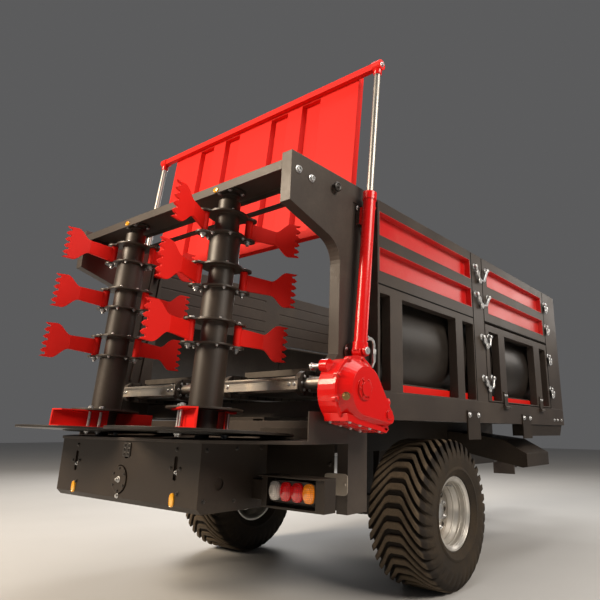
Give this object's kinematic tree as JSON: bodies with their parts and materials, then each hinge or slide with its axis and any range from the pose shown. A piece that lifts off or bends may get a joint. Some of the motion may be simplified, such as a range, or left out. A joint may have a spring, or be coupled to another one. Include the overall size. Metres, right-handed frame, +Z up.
{
  "type": "manure spreader",
  "caption": "Towed single-axle manure spreader with a red-trimmed dark body, raised rear gate, saw-toothed vertical beaters over spreading discs and a parking jack.",
  "frame": {"origin": "Middle of the hitch eye's bore, at half the height of the eye.", "axes": "+X to the machine's right, +Y forward along the drawbar in the direction of travel, +Z up along the hitch eye's bore."},
  "size_m": [2.417, 5.62, 3.1507],
  "materials": {
    "dark_paint": "satin",
    "black_paint": "satin",
    "red_paint": "satin",
    "red_gloss": "gloss",
    "zinc": "zinc plated",
    "chrome": "polished",
    "rim_silver": "silver paint",
    "rubber": "dusty rubber",
    "lens": "clear moulded"
  },
  "bodies": {
    "chassis": {"chassis_rails": "dark_paint", "drawbar": "dark_paint", "hitch_eye": "black_paint", "jack_tube": "red_paint", "driveline": "black_paint", "axle_beam": "dark_paint", "step_boxes": "dark_paint", "floor_frame": "dark_paint", "floor_deck": "dark_paint", "floor_edging": "red_paint", "conveyor_chains": "black_paint", "conveyor_shaft": "chrome", "sill_left": "dark_paint", "sill_right": "dark_paint", "front_wall": "dark_paint", "front_post_left": "dark_paint", "front_post_right": "dark_paint", "mid_post_left": "dark_paint", "mid_post_right": "dark_paint", "rear_frame_left": "dark_paint", "rear_frame_right": "dark_paint", "rear_panel_left": "black_paint", "rear_panel_right": "black_paint", "rear_board_left": "dark_paint", "rear_board_right": "dark_paint", "front_board_left": "dark_paint", "front_board_right": "dark_paint", "recess_left": "red_paint", "recess_right": "red_paint", "arm_left": "dark_paint", "arm_right": "dark_paint", "top_beam": "dark_paint", "gear_housing": "dark_paint", "spreading_deck": "dark_paint", "conveyor_gearbox": "red_gloss", "cylinder_left": "red_gloss", "cylinder_right": "red_gloss", "lamp_brackets": "dark_paint", "tail_lamps": "lens", "latches": "zinc"},
    "wheel_left": {"tyre_left": "rubber", "rim_left": "rim_silver"},
    "wheel_right": {"tyre_right": "rubber", "rim_right": "rim_silver"},
    "beater_drum_left": {"beater_left": "black_paint", "disc_left": "black_paint", "knives_left": "red_paint", "paddles_left": "red_paint"},
    "beater_drum_right": {"beater_right": "black_paint", "disc_right": "black_paint", "knives_right": "red_paint", "paddles_right": "red_paint"},
    "gate": {"gate_panel": "red_paint", "gate_bar": "red_paint", "gate_rods": "chrome"},
    "door_left": {"door_frame_left": "dark_paint", "door_panel_left": "black_paint"},
    "door_right": {"door_frame_right": "dark_paint", "door_panel_right": "black_paint"},
    "jack": {"jack_leg": "zinc"}
  },
  "joints": [
    {"name": "wheel_left_spin", "type": "hinge", "parent": "chassis", "child": "wheel_left", "pos_m": [-0.896, -3.6, -0.083], "axis": [1, 0, 0], "continuous": true},
    {"name": "wheel_right_spin", "type": "hinge", "parent": "chassis", "child": "wheel_right", "pos_m": [0.896, -3.6, -0.083], "axis": [1, 0, 0], "continuous": true},
    {"name": "beater_right_spin", "type": "hinge", "parent": "chassis", "child": "beater_drum_right", "pos_m": [0.473, -5.1, 0.397], "axis": [0, 0.0471, 0.9989], "continuous": true},
    {"name": "beater_left_spin", "type": "hinge", "parent": "chassis", "child": "beater_drum_left", "pos_m": [-0.473, -5.1, 0.397], "axis": [0, 0.0471, 0.9989], "continuous": true},
    {"name": "gate_lift", "type": "slide", "parent": "chassis", "child": "gate", "axis": [0, -0.0924, -0.9957], "range_m": [0, 0.79]},
    {"name": "door_right_drop", "type": "hinge", "parent": "chassis", "child": "door_right", "pos_m": [1.131, -2.413, 0.58], "axis": [0, 1, 0], "range_deg": [0, 170]},
    {"name": "door_left_drop", "type": "hinge", "parent": "chassis", "child": "door_left", "pos_m": [-1.131, -2.413, 0.58], "axis": [0, -1, 0], "range_deg": [0, 170]},
    {"name": "jack_slide", "type": "slide", "parent": "chassis", "child": "jack", "axis": [0, 0, 1], "range_m": [0, 0.32]}
  ],
  "couplings": [
    {"joint": "beater_left_spin", "follows": "beater_right_spin", "ratio": -1}
  ]
}
